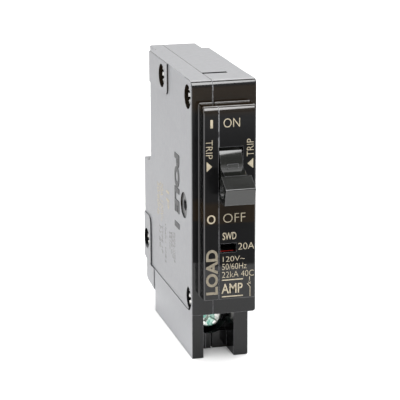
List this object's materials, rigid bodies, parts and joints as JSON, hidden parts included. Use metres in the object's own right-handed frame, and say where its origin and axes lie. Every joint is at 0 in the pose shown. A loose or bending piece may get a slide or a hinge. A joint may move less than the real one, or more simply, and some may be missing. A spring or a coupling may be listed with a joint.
{
  "type": "single-pole plug-on circuit breaker",
  "caption": "Single-pole plug-on circuit breaker with a toggle handle, trip flag window, rear plug-on jaw and a screw terminal in its foot.",
  "frame": {"origin": "bottom centre of the whole breaker's box, on the flat underside of the foot", "axes": "-Y is the front with the handle, +Y the plug-on rear, +X the base half's side, -X the cover half's side, +Z from the load terminal up to the line end"},
  "size_m": [0.0186, 0.0733, 0.0796],
  "materials": {
    "case_cover": "satin black moulding",
    "case_base": "satin black moulding",
    "handle_black": "satin black moulding",
    "hub_grey": "matt",
    "flag_red": "matt red",
    "rivet_steel": "zinc plated",
    "screw_zinc": "blue-green zinc plated",
    "spring_steel": "spring wire",
    "plate_steel": "nickel plated",
    "copper": "bare copper",
    "tinned_copper": "tin plated",
    "silver": "silver alloy",
    "bimetal_strip": "rolled",
    "fibre": "vulcanised fibre"
  },
  "bodies": {
    "housing": {"left_cover": "case_cover", "right_base": "case_base", "rivets": "rivet_steel", "fixed_contact": "silver", "line_strap": "copper", "bus_jaw": "tinned_copper", "jaw_spring": "spring_steel", "arc_plates": "plate_steel", "arc_side_walls": "fibre", "vent_baffle": "fibre", "bimetal": "bimetal_strip", "magnet_yoke": "plate_steel", "armature_pin": "plate_steel", "armature_spring": "spring_steel", "flag_spring": "spring_steel", "flexible_braid": "copper", "load_strap": "tinned_copper", "calibration_screw": "screw_zinc"},
    "handle": {"handle": "handle_black", "arm_pin": "plate_steel"},
    "contact_arm": {"contact_arm": "copper", "moving_contact": "silver"},
    "cradle": {"cradle": "plate_steel", "trip_hub": "hub_grey", "toggle_spring": "spring_steel"},
    "flag": {"trip_flag": "flag_red"},
    "armature": {"armature": "plate_steel"},
    "clamp": {"clamp_plate": "screw_zinc"},
    "screw": {"terminal_screw": "screw_zinc", "lock_washer": "screw_zinc"}
  },
  "joints": [
    {"name": "handle_toggle", "type": "hinge", "parent": "housing", "child": "handle", "pos_m": [0.0006, -0.01813, 0.0555], "axis": [-1, 0, 0], "range_deg": [0, 33], "deforming": ["toggle_spring", "flexible_braid"]},
    {"name": "arm_swing", "type": "hinge", "parent": "handle", "child": "contact_arm", "pos_m": [0.0006, -0.01286, 0.05706], "axis": [1, 0, 0], "range_deg": [0, 13.2]},
    {"name": "cradle_trip", "type": "hinge", "parent": "housing", "child": "cradle", "pos_m": [0.0006, -0.01163, 0.0425], "axis": [1, 0, 0], "range_deg": [0, 24], "deforming": ["armature_spring", "flag_spring"]},
    {"name": "flag_lift", "type": "hinge", "parent": "housing", "child": "flag", "pos_m": [0.0006, -0.01843, 0.0355], "axis": [-1, 0, 0], "range_deg": [0, 24]},
    {"name": "armature_pull", "type": "hinge", "parent": "housing", "child": "armature", "pos_m": [0.0006, 0.00357, 0.0265], "axis": [-1, 0, 0], "range_deg": [0, 3.5]},
    {"name": "clamp_slide", "type": "slide", "parent": "housing", "child": "clamp", "axis": [0, 1, 0], "range_m": [0, 0.0036]},
    {"name": "screw_turn", "type": "hinge", "parent": "clamp", "child": "screw", "pos_m": [-0.0019, -0.01, 0.0098], "axis": [0, 1, 0], "range_deg": [0, 1440]}
  ],
  "couplings": [
    {"joint": "arm_swing", "follows": "handle_toggle", "ratio": 0.4},
    {"joint": "flag_lift", "follows": "cradle_trip", "ratio": 1},
    {"joint": "armature_pull", "follows": "cradle_trip", "ratio": 0.1458},
    {"joint": "screw_turn", "follows": "clamp_slide", "rad_per_m": 6981.3}
  ]
}
